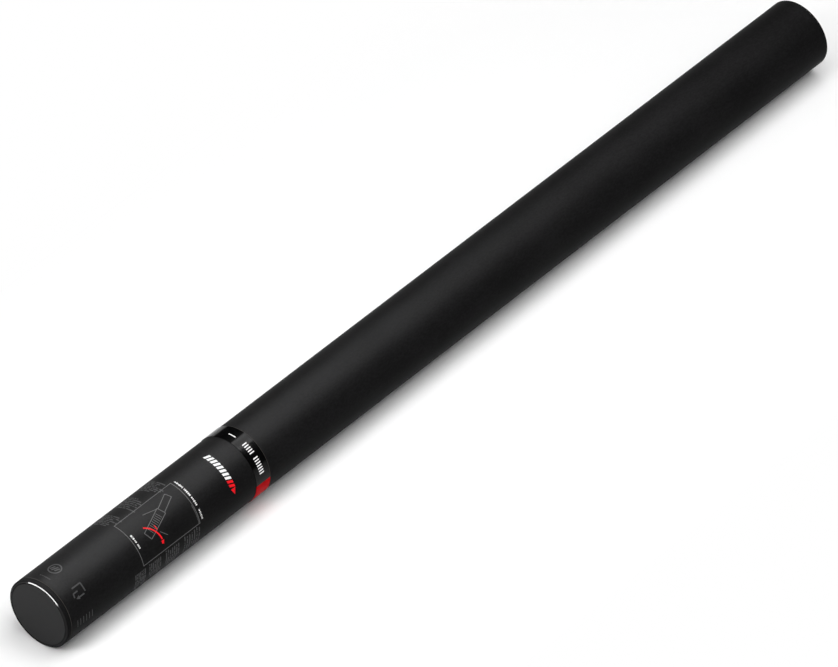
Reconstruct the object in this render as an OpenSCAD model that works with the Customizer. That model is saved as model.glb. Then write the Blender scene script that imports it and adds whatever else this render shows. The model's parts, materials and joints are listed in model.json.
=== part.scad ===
// Hand-held streamer cannon, fired by twisting its handle.
// The tube lies along +X on the floor, base cap at -X and muzzle at +X.
// Every module is drawn standing up, with z measured from the base face, and laid() lays it down.

/* [Tubes] */
// Length from the base face to the muzzle
overall_l = 800; // [720:5:1000]
// Outside diameter of the two card tubes
tube_od = 52; // [48:0.5:56]
// Wall of the two card tubes
tube_wall = 2; // [1.6:0.1:2.4]
// Length of the twist handle, from the base face to the joint
handle_l = 197.4; // [186:0.2:230]

/* [Base cap] */
// Thickness of the flange that closes the handle
cap_flange_t = 4; // [3.5:0.1:7]
// Rounding of the flange's rim
cap_rim_r = 1.2; // [0.3:0.1:2.4]
// Depth of the plug inside the handle
cap_plug_l = 20; // [12:0.5:22]
// Wall of the plug and its webs
cap_wall = 2.2; // [1.6:0.1:3]

/* [Safety band] */
// Width of the band along the tube
band_w = 14; // [12:0.5:20]
// Thickness of the band
band_t = 0.3; // [0.2:0.05:0.6]
// Sweep of the coloured pull tab round the tube, in degrees
tab_angle = 50; // [30:1:80]

/* [Twist mechanism] */
// Twist that fires the cannon, in degrees
twist_angle = 90; // [60:5:110]
// Travel of the cartridge over that twist
cam_rise = 8; // [6:0.5:10]
// Diameter of the cam pins
pin_d = 5; // [4:0.25:6]
// Wall of the keyed liner inside the handle
liner_wall = 3; // [2.6:0.1:3.4]
// Wall of the cam sleeve
sleeve_wall = 3; // [2.4:0.1:3.4]
// Length of the cam sleeve inside the barrel
socket_l = 26; // [20:1:40]
// Length of the carrier that holds the cartridge
carrier_l = 62; // [50:1:74]
// Wire of the hold-off spring
spring_wire_d = 1.8; // [1.2:0.1:2]

/* [Gas cartridge] */
// Diameter of the gas cartridge
cartridge_d = 25; // [22:0.5:27]
// Length of the gas cartridge with its neck
cartridge_l = 104; // [92:1:112]
// Diameter of the cartridge's neck
neck_d = 9.5; // [8.5:0.1:12]
// Length of the cartridge's neck
neck_l = 9; // [6:0.5:14]

/* [Breech and needle] */
// Length of the breech block inside the cam sleeve
breech_l = 52; // [44:1:60]
// Thickness of the breech block's flange
breech_flange_t = 4; // [3:0.5:8]
// Diameter of the hollow needle
needle_d = 3.2; // [2.4:0.1:3.8]
// Gap between the needle's tip and the cartridge at rest
needle_gap = 1.2; // [0.6:0.1:2]

/* [Load] */
// Width of one streamer roll
roll_w = 15; // [10:0.5:18]
// Layers of streamer rolls, one on top of the other
roll_layers = 8; // [2:1:12]
// Length of the pusher
pusher_l = 18; // [14:1:30]
// Thickness of the felt wad behind the rolls
felt_t = 6; // [3:0.5:12]
// Thickness of the paper wad in front of the rolls
front_wad_t = 3; // [1:0.5:6]
// Depth of the muzzle cap's skirt
muzzle_cap_l = 12; // [8:0.5:20]

/* [Hidden] */
$fn = 96;

// Streamer rolls stand side by side in layers
rolls_per_layer = 3;
roll_count = rolls_per_layer * roll_layers;

// Clearances
glue_gap = 0.1;
run_gap = 0.08;
slot_gap = 0.2;
press_gap = 0.02;
face_gap = 0.3;
joint_gap = 0.4;
wad_gap = 0.4;
base_gap = 1;
roll_gap = 0.2;
roll_bore_gap = 0.7;
layer_gap = 0.1;
overrun = 1;

// Small sizes of the card tubes and of the band's seat
tube_edge = 0.3;
collar_drop = 0.5;
lead_in = 0.8;

// Radii, from the outside in
tube_r = tube_od / 2;
bore_r = tube_r - tube_wall;
band_ri = tube_r + run_gap;
band_ro = band_ri + band_t;
liner_ro = bore_r - glue_gap;
liner_ri = liner_ro - liner_wall;
journal_r = liner_ri - run_gap;
sleeve_ri = journal_r - sleeve_wall;
collar_r = tube_r - collar_drop;
carrier_r = sleeve_ri - run_gap;
breech_r = sleeve_ri - glue_gap;
cartridge_r = cartridge_d / 2;
carrier_ri = cartridge_r + glue_gap;
pin_r = pin_d / 2;
axis_h = band_ro;

// Places along the tube, from the joint
band_z0 = handle_l + joint_gap / 2 - band_w / 2;
band_z1 = band_z0 + band_w;
collar_z0 = handle_l + joint_gap;
barrel_z0 = band_z1 + face_gap;

// Lengths of what stands between the base cap and the end of the socket. The socket is socket_l long,
// or longer where the cartridge and its carrier would otherwise reach the base cap.
nose_l = 6;
seal_proud = 1.2;
bumper_t = 3;
carrier_floor_t = 5;
carrier_land_l = 8;
mechanism_l = carrier_land_l + carrier_floor_t + bumper_t + cartridge_l + cam_rise + face_gap
    + seal_proud + nose_l + breech_l;
socket_z1 = max(barrel_z0 + socket_l, cap_flange_t + cap_plug_l + base_gap + mechanism_l);
breech_z0 = socket_z1 - breech_l;
breech_z1 = socket_z1 + breech_flange_t;

// Needle, its seal and the breech block's nose
seal_pocket_r = 6;
seal_pocket_l = 3;
nose_wall = 4;
nose_r = seal_pocket_r + nose_wall;
nose_z0 = breech_z0 - nose_l;
seal_z0 = nose_z0 - seal_proud;
needle_seat_z0 = nose_z0 + seal_pocket_l;
needle_flange_t = 2;
needle_flange_r = 4;
needle_seat_z1 = needle_seat_z0 + needle_flange_t;
needle_wall = 0.7;
needle_bevel = 50;
gas_bore_r = 2.5;

// O-rings in the breech block
o_ring_r = 1.3;
o_ring_squeeze_gap = 0.05;
o_ring_mean_r = sleeve_ri - o_ring_squeeze_gap - o_ring_r;
o_groove_r = o_ring_mean_r - o_ring_r - o_ring_squeeze_gap;
o_groove_side_share = 0.15;
o_groove_half_w = (1 + o_groove_side_share) * o_ring_r;
o_ring_shares = [0.3, 0.6];
o_ring_z = [for (s = o_ring_shares) breech_z0 + s * breech_l];

// Chamber in the breech block, and the drilled plate that spreads the gas
breech_wall = 3;
plenum_r = o_groove_r - breech_wall;
plenum_l = 16;
diffuser_seat = 1;
diffuser_r = plenum_r + diffuser_seat;
diffuser_t = 2;
diffuser_hole_r = 1.5;
diffuser_ring_share = 0.64;
diffuser_holes = 6;

// Cartridge and its carrier
neck_z1 = seal_z0 - face_gap - cam_rise;
cartridge_z0 = neck_z1 - cartridge_l;
carrier_vent_r = 4;
carrier_z0 = cartridge_z0 - bumper_t - carrier_floor_t;
carrier_z1 = carrier_z0 + carrier_l;
carrier_relief = 0.6;
cartridge_wall = 1.6;
cartridge_foot_r = 4;
shoulder_r = 9;
shoulder_angle = 60;
neck_bore_r = 3.2;
neck_root_drop = 1;
neck_bore_drop = 2;
seal_disc_t = 0.8;
needle_tip_z = neck_z1 + needle_gap;

// Cam: pins in the carrier, helical slots in the sleeve, keyways in the liner
pin_angles = [0, 180];
pin_inset = 26;
pin_z = carrier_z0 + pin_inset;
pin_key_depth = 1.5;
pin_tip_r = liner_ri + pin_key_depth;
pin_root_r = carrier_ri + glue_gap;
pin_chamfer = 0.5;
keyway_r = pin_tip_r + face_gap;
keyway_w = pin_d + 2 * slot_gap;
keyway_end = 4;
keyway_z0 = pin_z - pin_r - keyway_end;
slot_mid_r = (sleeve_ri + journal_r) / 2;
cam_slope = atan(cam_rise / (slot_mid_r * twist_angle * PI / 180));
slot_half_h = (pin_r + slot_gap) / cos(cam_slope);
slot_steps = 18;

// Cam sleeve's rear end, its snap ring and the liner
ring_t = 1.5;
ring_land = 2;
ring_depth = 1.2;
ring_reach = 1.7;
ring_open_angle = 24;
ring_lug_r = 1.5;
ring_eye_r = 0.6;
sleeve_z0 = carrier_z0 - carrier_land_l;
ring_z0 = sleeve_z0 + ring_land;
ring_z1 = ring_z0 + ring_t;
ring_ri = journal_r - ring_depth + glue_gap;
ring_ro = journal_r + ring_reach;
liner_z0 = ring_z1 + face_gap;
liner_recess = 1.5;
liner_z1 = handle_l - liner_recess;

// Glue grooves round the liner and the socket
glue_groove_w = 2;
glue_groove_d = 0.6;
liner_groove_shares = [0.15, 0.5, 0.85];
socket_groove_shares = [0.3, 0.65];

// Hold-off spring
spring_turns = 9;
spring_mean_r = (cartridge_r + sleeve_ri) / 2;
spring_z0 = carrier_z1 + face_gap;
spring_z1 = breech_z0 - face_gap;
spring_end_pitch_share = 1.3;
spring_end_pitch = spring_end_pitch_share * spring_wire_d;
spring_sides = 6;
spring_steps = 12;

// Base cap's inside
cap_webs = 6;
cap_hub_r = 5;
cap_web_share = 0.5;

// Pull tab: where it starts round the tube, and the slit in front of it
tab_start = 270;
tab_slit_angle = 1;

// Load
pusher_r = bore_r - face_gap;
pusher_wall = 2;
pusher_face_t = 3;
pusher_lip = 0.15;
pusher_webs = 4;
pusher_groove_w = 4;
pusher_groove_d = 2;
pusher_z0 = breech_z1 + joint_gap;
pusher_z1 = pusher_z0 + pusher_l;
pusher_groove_z1 = pusher_z1 - pusher_face_t / 2;
pusher_groove_z0 = pusher_groove_z1 - pusher_groove_w;
felt_z1 = pusher_z1 + felt_t;
roll_turn = 360 / rolls_per_layer;
roll_ring_share = 1 / sin(roll_turn / 2);
roll_r = (bore_r - roll_bore_gap - roll_gap * roll_ring_share / 2) / (1 + roll_ring_share);
roll_ring_r = (roll_r + roll_gap / 2) * roll_ring_share;
roll_core_r = 3.2;
roll_core_wall = 0.8;
roll_core_recess = 0.6;
roll_edge = 0.3;
roll_pitch = roll_w + layer_gap;
rolls_z0 = felt_z1 + layer_gap;
rolls_z1 = rolls_z0 + roll_layers * roll_pitch;
wad_r = bore_r - wad_gap;

// Muzzle cap
muzzle_cap_recess = 1.5;
muzzle_cap_t = 1.5;
muzzle_cap_wall = 1.5;
muzzle_cap_r = bore_r - run_gap;
muzzle_cap_z1 = overall_l - muzzle_cap_recess;
muzzle_cap_z0 = muzzle_cap_z1 - muzzle_cap_l;
muzzle_cap_dish = 0.6;

// Finishes
card_black = [0.10, 0.10, 0.11];
gloss_black = [0.03, 0.03, 0.035];
tab_red = [0.72, 0.05, 0.04];
moulded_black = [0.14, 0.14, 0.15];
moulded_grey = [0.55, 0.56, 0.58];
steel = [0.70, 0.71, 0.73];
brass = [0.80, 0.66, 0.32];
rubber_black = [0.06, 0.06, 0.06];
felt_grey = [0.62, 0.60, 0.56];
foil_silver = [0.80, 0.81, 0.83];
paper_white = [0.90, 0.88, 0.84];

function roll_name(i) = str("streamer_roll_", i < 10 ? "0" : "", i);

// Points of an arc from angle a0 to a1 about c
function arc(c, r, a0, a1, steps = 6) =
    [for (i = [0:steps]) c + r * [cos(a0 + (a1 - a0) * i / steps), sin(a0 + (a1 - a0) * i / steps)]];

// A groove of depth d and half width w, cut into radius r at height z, walked upwards
function groove(r, z, w, d) = [[r, z - w], [r - d, z - w], [r - d, z + w], [r, z + w]];

// Several grooves one above the other, at shares of the way from z0 to z1
function grooves(r, z0, z1, shares, w, d) =
    [for (s = shares) for (p = groove(r, z0 + s * (z1 - z0), w, d)) p];

// Triangles of a tube swept through rings of m points each, closed at both ends
function sweep_faces(rings, m) = concat(
    [for (i = [0:rings - 2]) for (j = [0:m - 1]) let (k = (j + 1) % m)
        [i * m + j, i * m + k, (i + 1) * m + k]],
    [for (i = [0:rings - 2]) for (j = [0:m - 1]) let (k = (j + 1) % m)
        [i * m + j, (i + 1) * m + k, (i + 1) * m + j]],
    [for (j = [1:m - 2]) [0, j + 1, j]],
    [for (j = [1:m - 2]) [(rings - 1) * m, (rings - 1) * m + j, (rings - 1) * m + j + 1]]);

// A point at radius r and height z, turned by a round the tube's axis
function polar(r, a, z) = [r * cos(a), r * sin(a), z];

// Lays the standing tube down along +X, with the floor at z = 0
module laid() {
    translate([-overall_l / 2, 0, axis_h]) rotate([0, 90, 0]) children();
}

// A ring of rectangular section between two heights
module ring(ri, ro, z0, z1) {
    rotate_extrude() translate([ri, z0]) square([ro - ri, z1 - z0]);
}

module card_tube(z0, z1) {
    rotate_extrude() polygon([
        [bore_r, z0], [tube_r - tube_edge, z0], [tube_r, z0 + tube_edge],
        [tube_r, z1 - tube_edge], [tube_r - tube_edge, z1], [bore_r, z1]]);
}

module barrel_tube() {
    color(card_black) laid() card_tube(barrel_z0, overall_l);
}

module handle_tube() {
    color(card_black) laid() card_tube(cap_flange_t, handle_l);
}

// Cutter for one helical slot: a bar swept round the axis while it climbs, with round ends
module cam_slot() {
    r0 = sleeve_ri - overrun;
    r1 = journal_r + overrun;
    points = [for (i = [0:slot_steps])
        let (a = twist_angle * i / slot_steps, z = cam_rise * i / slot_steps)
        each [polar(r0, a, z - slot_half_h), polar(r1, a, z - slot_half_h),
              polar(r1, a, z + slot_half_h), polar(r0, a, z + slot_half_h)]];
    polyhedron(points, sweep_faces(slot_steps + 1, 4));
    for (end = [0, 1])
        translate([0, 0, end * cam_rise]) rotate([0, 0, end * twist_angle]) rotate([0, 90, 0])
            translate([0, 0, r0]) cylinder(r = pin_r + slot_gap, h = r1 - r0);
}

module cam_sleeve() {
    socket_r = bore_r - glue_gap;
    outline = concat(
        [[sleeve_ri, sleeve_z0], [journal_r - lead_in, sleeve_z0], [journal_r, sleeve_z0 + lead_in]],
        groove(journal_r, (ring_z0 + ring_z1) / 2, ring_t / 2 + glue_gap, ring_depth),
        [[journal_r, collar_z0], [collar_r, collar_z0], [collar_r, barrel_z0], [socket_r, barrel_z0]],
        grooves(socket_r, barrel_z0, socket_z1, socket_groove_shares, glue_groove_w / 2, glue_groove_d),
        [[socket_r, socket_z1 - lead_in], [socket_r - lead_in, socket_z1], [sleeve_ri, socket_z1]]);
    color(moulded_grey) laid() difference() {
        rotate_extrude() polygon(outline);
        for (a = pin_angles) translate([0, 0, pin_z]) rotate([0, 0, a]) cam_slot();
    }
}

module breech_block() {
    flange_r = bore_r - glue_gap;
    seat_r = needle_flange_r + glue_gap;
    recess_r = diffuser_r + glue_gap;
    recess_z0 = breech_z1 - diffuser_t;
    plenum_z0 = recess_z0 - plenum_l;
    outline = concat(
        [[seal_pocket_r, nose_z0], [nose_r, nose_z0], [nose_r, breech_z0],
         [breech_r - lead_in, breech_z0], [breech_r, breech_z0 + lead_in]],
        [for (z = o_ring_z) each groove(breech_r, z, o_groove_half_w, breech_r - o_groove_r)],
        [[breech_r, socket_z1], [flange_r, socket_z1], [flange_r, breech_z1], [recess_r, breech_z1],
         [recess_r, recess_z0], [plenum_r, recess_z0], [plenum_r, plenum_z0],
         [gas_bore_r, plenum_z0 - (plenum_r - gas_bore_r)], [gas_bore_r, needle_seat_z1],
         [seat_r, needle_seat_z1], [seat_r, needle_seat_z0], [seal_pocket_r, needle_seat_z0]]);
    color(moulded_black) laid() rotate_extrude() polygon(outline);
}

module breech_o_rings() {
    color(rubber_black) laid() for (z = o_ring_z)
        translate([0, 0, z]) rotate_extrude() translate([o_ring_mean_r, 0]) circle(r = o_ring_r, $fn = 32);
}

// Hollow needle with a slanted tip and a flange that seats in the breech block
module piercing_needle() {
    needle_r = needle_d / 2;
    needle_ri = needle_r - needle_wall;
    color(steel) laid() difference() {
        rotate_extrude() polygon([
            [needle_ri, needle_tip_z], [needle_r, needle_tip_z], [needle_r, needle_seat_z0],
            [needle_flange_r, needle_seat_z0], [needle_flange_r, needle_seat_z1],
            [needle_ri, needle_seat_z1]]);
        translate([-needle_r, 0, needle_tip_z]) rotate([0, needle_bevel - 90, 0])
            translate([-needle_d, -needle_d, -2 * needle_d])
                cube([4 * needle_d, 2 * needle_d, 2 * needle_d]);
    }
}

module needle_seal() {
    color(rubber_black) laid()
        ring(needle_d / 2 + glue_gap, seal_pocket_r - glue_gap, seal_z0, needle_seat_z0);
}

module gas_diffuser() {
    color(steel) laid() translate([0, 0, breech_z1 - diffuser_t]) linear_extrude(diffuser_t)
        difference() {
            circle(r = diffuser_r);
            circle(r = diffuser_hole_r);
            for (i = [0:diffuser_holes - 1]) rotate(i * 360 / diffuser_holes)
                translate([diffuser_ring_share * plenum_r, 0]) circle(r = diffuser_hole_r);
        }
}

// Open snap ring with two eyes, in the groove at the cam sleeve's rear end
module retaining_ring() {
    lug_ring_r = (ring_ri + ring_ro) / 2 + press_gap;
    lug_angle = ring_open_angle / 2 + asin(ring_lug_r / lug_ring_r);
    far = 2 * ring_ro;
    half = ring_open_angle / 2;
    color(steel) laid() translate([0, 0, ring_z0]) linear_extrude(ring_t) difference() {
        union() {
            difference() {
                circle(r = ring_ro);
                circle(r = ring_ri);
                polygon([[0, 0], far * [cos(half), -sin(half)], far * [cos(half), sin(half)]]);
            }
            for (side = [-1, 1]) rotate(side * lug_angle) translate([lug_ring_r, 0]) circle(r = ring_lug_r);
        }
        for (side = [-1, 1]) rotate(side * lug_angle) translate([lug_ring_r, 0]) circle(r = ring_eye_r);
    }
}

// Height of the spring's wire after t turns: one close turn at each end, open turns between
function spring_height(t) = let (
        climb = spring_z1 - spring_z0 - spring_wire_d,
        pitch = (climb - 2 * spring_end_pitch) / (spring_turns - 2))
    t < 1 ? t * spring_end_pitch
    : t > spring_turns - 1 ? climb - (spring_turns - t) * spring_end_pitch
    : spring_end_pitch + (t - 1) * pitch;

module hold_off_spring() {
    rings = spring_turns * spring_steps + 1;
    wire_r = spring_wire_d / 2;
    points = [for (i = [0:rings - 1]) for (j = [0:spring_sides - 1])
        let (t = i / spring_steps, b = 360 * j / spring_sides)
        polar(spring_mean_r + wire_r * cos(b), 360 * t,
              spring_z0 + wire_r + spring_height(t) + wire_r * sin(b))];
    color(steel) laid() polyhedron(points, sweep_faces(rings, spring_sides));
}

module base_cap() {
    plug_r = bore_r - glue_gap;
    plug_z1 = cap_flange_t + cap_plug_l;
    outline = concat(
        [[0, 0]],
        arc([tube_r - cap_rim_r, cap_rim_r], cap_rim_r, -90, 0),
        [[tube_r, cap_flange_t], [plug_r, cap_flange_t], [plug_r, plug_z1 - lead_in],
         [plug_r - lead_in, plug_z1], [plug_r - cap_wall, plug_z1], [plug_r - cap_wall, cap_flange_t],
         [cap_hub_r, cap_flange_t], [cap_hub_r, plug_z1 - lead_in], [0, plug_z1 - lead_in]]);
    web_h = cap_web_share * cap_plug_l;
    color(gloss_black) laid() {
        rotate_extrude() polygon(outline);
        for (i = [0:cap_webs - 1]) rotate([0, 0, i * 360 / cap_webs])
            translate([cap_hub_r - cap_wall, -cap_wall / 2, cap_flange_t - overrun])
                cube([plug_r - cap_hub_r + cap_wall / 2, cap_wall, web_h + overrun]);
    }
}

module handle_liner() {
    outline = concat(
        [[liner_ri, liner_z0], [liner_ro - lead_in, liner_z0], [liner_ro, liner_z0 + lead_in]],
        grooves(liner_ro, liner_z0, liner_z1, liner_groove_shares, glue_groove_w / 2, glue_groove_d),
        [[liner_ro, liner_z1], [liner_ri + lead_in, liner_z1], [liner_ri, liner_z1 - lead_in]]);
    color(moulded_black) laid() difference() {
        rotate_extrude() polygon(outline);
        for (a = pin_angles) rotate([0, 0, a]) translate([liner_ri - overrun, -keyway_w / 2, keyway_z0])
            cube([keyway_r - liner_ri + overrun, keyway_w, liner_z1 - keyway_z0 + overrun]);
    }
}

module cartridge_carrier() {
    floor_z1 = carrier_z0 + carrier_floor_t;
    waist_r = carrier_r - carrier_relief;
    color(moulded_grey) laid() difference() {
        rotate_extrude() polygon([
            [carrier_vent_r, carrier_z0], [carrier_r - lead_in, carrier_z0],
            [carrier_r, carrier_z0 + lead_in], [carrier_r, carrier_z0 + carrier_land_l],
            [waist_r, carrier_z0 + carrier_land_l + carrier_relief],
            [waist_r, carrier_z1 - carrier_land_l - carrier_relief],
            [carrier_r, carrier_z1 - carrier_land_l], [carrier_r, carrier_z1 - lead_in],
            [carrier_r - lead_in, carrier_z1], [carrier_ri, carrier_z1],
            [carrier_ri, floor_z1], [carrier_vent_r, floor_z1]]);
        for (a = pin_angles) translate([0, 0, pin_z]) rotate([0, 0, a]) rotate([0, 90, 0])
            translate([0, 0, carrier_vent_r]) cylinder(r = pin_r + press_gap, h = carrier_r);
    }
}

module cam_pins() {
    color(steel) laid() for (a = pin_angles)
        translate([0, 0, pin_z]) rotate([0, 0, a]) rotate([0, 90, 0]) rotate_extrude() polygon([
            [0, pin_root_r], [pin_r, pin_root_r], [pin_r, pin_tip_r - pin_chamfer],
            [pin_r - pin_chamfer, pin_tip_r], [0, pin_tip_r]]);
}

// Drawn steel bottle: round foot, straight body, round shoulder and a neck
module gas_cartridge() {
    neck_r = neck_d / 2;
    foot_r = cartridge_r - cartridge_foot_r;
    neck_z0 = neck_z1 - neck_l;
    shoulder_z = neck_z0 - shoulder_r;
    inner_r = cartridge_r - cartridge_wall;
    outline = concat(
        [[0, cartridge_z0]],
        arc([cartridge_foot_r, cartridge_z0 + foot_r], foot_r, -90, 0),
        arc([cartridge_r - shoulder_r, shoulder_z], shoulder_r, 0, shoulder_angle),
        [[neck_r, neck_z0 - neck_root_drop], [neck_r, neck_z1], [neck_bore_r, neck_z1],
         [neck_bore_r, neck_z0 - neck_bore_drop]],
        arc([cartridge_r - shoulder_r, shoulder_z], shoulder_r - cartridge_wall, shoulder_angle, 0),
        arc([cartridge_foot_r, cartridge_z0 + foot_r], foot_r - cartridge_wall, 0, -90),
        [[0, cartridge_z0 + cartridge_wall]]);
    color(steel) laid() rotate_extrude() polygon(outline);
}

module cartridge_seal() {
    color(brass) laid()
        ring(needle_d / 2 + face_gap, neck_bore_r - press_gap, neck_z1 - seal_disc_t, neck_z1);
}

module cartridge_bumper() {
    color(rubber_black) laid()
        ring(carrier_vent_r, carrier_ri - glue_gap, cartridge_z0 - bumper_t, cartridge_z0);
}

// Tape round the joint; the pull tab is the last stretch of the turn, on the side seen from -Y
module band_sector(a0, sweep) {
    rotate([0, 0, a0]) rotate_extrude(angle = sweep)
        translate([band_ri, band_z0]) square([band_t, band_w]);
}

module safety_band() {
    color(gloss_black) laid()
        band_sector(tab_start + tab_angle + tab_slit_angle, 360 - tab_angle - tab_slit_angle);
}

module pull_tab() {
    color(tab_red) laid() band_sector(tab_start, tab_angle);
}

// Cup with its open side towards the gas
module pusher() {
    inner_r = pusher_r - pusher_wall - pusher_groove_d;
    web_z0 = pusher_groove_z0 - pusher_groove_d;
    web_z1 = pusher_z1 - pusher_face_t / 2;
    color(moulded_black) laid() {
        rotate_extrude() polygon([
            [0, pusher_z1 - pusher_face_t], [inner_r, pusher_z1 - pusher_face_t],
            [inner_r, web_z0], [pusher_r - pusher_wall, web_z0 - pusher_groove_d],
            [pusher_r - pusher_wall, pusher_z0], [pusher_r + pusher_lip, pusher_z0],
            [pusher_r, pusher_z0 + lead_in], [pusher_r, pusher_groove_z0],
            [pusher_r - pusher_groove_d, pusher_groove_z0], [pusher_r - pusher_groove_d, pusher_groove_z1],
            [pusher_r, pusher_groove_z1], [pusher_r, pusher_z1], [0, pusher_z1]]);
        for (i = [0:pusher_webs / 2 - 1]) rotate([0, 0, i * 360 / pusher_webs])
            translate([-inner_r - pusher_wall / 2, -pusher_wall / 2, web_z0])
                cube([2 * inner_r + pusher_wall, pusher_wall, web_z1 - web_z0]);
    }
}

module pusher_ring() {
    color(felt_grey) laid() ring(
        pusher_r - pusher_groove_d + press_gap, pusher_r + pusher_lip,
        pusher_groove_z0 + glue_gap, pusher_groove_z1 - glue_gap);
}

module felt_wad() {
    color(felt_grey) laid() translate([0, 0, pusher_z1]) cylinder(r = wad_r, h = felt_t);
}

// One roll: strip wound on a small core that sits back a little from the faces
module streamer_roll(i) {
    layer = floor((i - 1) / rolls_per_layer);
    turn = ((i - 1) % rolls_per_layer) * roll_turn + layer * roll_turn / 2;
    z0 = rolls_z0 + layer * roll_pitch;
    z1 = z0 + roll_w;
    core_ro = roll_core_r + roll_core_wall;
    color(foil_silver) laid() rotate([0, 0, turn]) translate([roll_ring_r, 0, 0])
        rotate_extrude() polygon([
            [roll_core_r, z0 + roll_core_recess], [core_ro, z0 + roll_core_recess], [core_ro, z0],
            [roll_r - roll_edge, z0], [roll_r, z0 + roll_edge], [roll_r, z1 - roll_edge],
            [roll_r - roll_edge, z1], [core_ro, z1], [core_ro, z1 - roll_core_recess],
            [roll_core_r, z1 - roll_core_recess]]);
}

module front_wad() {
    color(paper_white) laid() translate([0, 0, rolls_z1]) cylinder(r = wad_r, h = front_wad_t);
}

// Push-in cap with a shallow dish, set back from the muzzle's edge
module muzzle_cap() {
    inner_r = muzzle_cap_r - muzzle_cap_wall;
    dish_z = muzzle_cap_z1 - muzzle_cap_dish;
    floor_z = dish_z - muzzle_cap_t;
    color(moulded_black) laid() rotate_extrude() polygon([
        [0, floor_z], [inner_r, floor_z], [inner_r, muzzle_cap_z0], [muzzle_cap_r - lead_in, muzzle_cap_z0],
        [muzzle_cap_r, muzzle_cap_z0 + lead_in], [muzzle_cap_r, muzzle_cap_z1],
        [inner_r, muzzle_cap_z1], [inner_r - lead_in, dish_z], [0, dish_z]]);
}

barrel_tube();
cam_sleeve();
breech_block();
breech_o_rings();
piercing_needle();
needle_seal();
gas_diffuser();
retaining_ring();
hold_off_spring();
handle_tube();
base_cap();
handle_liner();
cartridge_carrier();
cam_pins();
gas_cartridge();
cartridge_seal();
cartridge_bumper();
safety_band();
pull_tab();
pusher();
pusher_ring();
felt_wad();
front_wad();
muzzle_cap();
for (i = [1:roll_count]) streamer_roll(i);
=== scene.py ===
"""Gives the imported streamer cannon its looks: card, tape, print, mouldings, felt and foil.

The studio round it has a white floor and backdrop, and softboxes for the matt and the glossy walls.
"""

import json
import math

import bmesh
import bpy
from bpy.props import FloatProperty, FloatVectorProperty, IntProperty, PointerProperty
from mathutils import Matrix, Vector, noise


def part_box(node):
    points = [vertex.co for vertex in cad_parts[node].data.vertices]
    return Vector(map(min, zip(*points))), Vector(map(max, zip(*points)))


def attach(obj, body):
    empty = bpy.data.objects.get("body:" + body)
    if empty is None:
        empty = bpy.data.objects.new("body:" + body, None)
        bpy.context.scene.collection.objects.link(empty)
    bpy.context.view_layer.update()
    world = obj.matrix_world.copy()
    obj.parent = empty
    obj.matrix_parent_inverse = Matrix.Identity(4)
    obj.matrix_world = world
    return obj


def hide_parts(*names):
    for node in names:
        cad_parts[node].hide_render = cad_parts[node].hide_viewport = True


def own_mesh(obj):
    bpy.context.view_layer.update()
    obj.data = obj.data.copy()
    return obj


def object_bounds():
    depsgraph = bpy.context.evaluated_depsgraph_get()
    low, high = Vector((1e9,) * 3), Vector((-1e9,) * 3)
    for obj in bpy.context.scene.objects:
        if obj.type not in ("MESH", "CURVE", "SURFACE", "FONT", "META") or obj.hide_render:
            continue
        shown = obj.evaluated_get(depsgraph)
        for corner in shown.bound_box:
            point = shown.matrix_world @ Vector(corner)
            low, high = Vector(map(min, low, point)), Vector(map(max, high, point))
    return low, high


bl_info = {
    "name": "Streamer Cannon Looks",
    "version": (1, 0, 0),
    "blender": (4, 5, 0),
    "location": "3D View > Sidebar > Cannon",
    "description": "Builds the pieces and finishes of a twist-fire cannon round its CAD frame",
    "category": "Add Mesh",
}

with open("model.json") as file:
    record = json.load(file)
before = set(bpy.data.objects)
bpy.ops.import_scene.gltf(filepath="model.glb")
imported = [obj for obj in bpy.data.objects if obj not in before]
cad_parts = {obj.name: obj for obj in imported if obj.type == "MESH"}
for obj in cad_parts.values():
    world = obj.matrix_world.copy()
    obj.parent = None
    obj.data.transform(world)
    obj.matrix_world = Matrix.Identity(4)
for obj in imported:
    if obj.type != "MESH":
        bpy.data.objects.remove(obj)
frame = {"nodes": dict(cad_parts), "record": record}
CAD_LOW, CAD_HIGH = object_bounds()

MM = 0.001
FULL_TURN = 2 * math.pi
WELD = 1e-7
TOLERANCE = 1e-6

# Sizes that the frame gives. The tube lies along +X, its base face at the low end.
MOUNTS = {m["name"]: m for m in frame["record"]["mounts"]}
TUBE_R = MOUNTS["barrel_grip"]["dims"]["r_mm"] * MM
AXIS_Z = MOUNTS["base_face"]["pos_m"][2]
BASE_X = MOUNTS["base_face"]["pos_m"][0]
ROLLS = sorted(n for n in frame["nodes"] if n.startswith("streamer_roll_"))


def span(node):
    """Where a CAD node begins and ends along the tube."""
    low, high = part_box(node)
    return low.x, high.x


def radius_of(node):
    """Outer radius of a CAD node that is round the tube's axis."""
    low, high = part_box(node)
    return max(high.z - AXIS_Z, high.y)


# The tube rests on its band, so the axis is as high as the band's radius.
BAND_RO = AXIS_Z
BAND_X = span("safety_band")
WAD_CLEARANCE = 0.4 * MM
BORE_R = radius_of("front_wad") + WAD_CLEARANCE

# The collection of the pieces that the rim strip lights.
RIM_LIT = "rim_lit"


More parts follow.
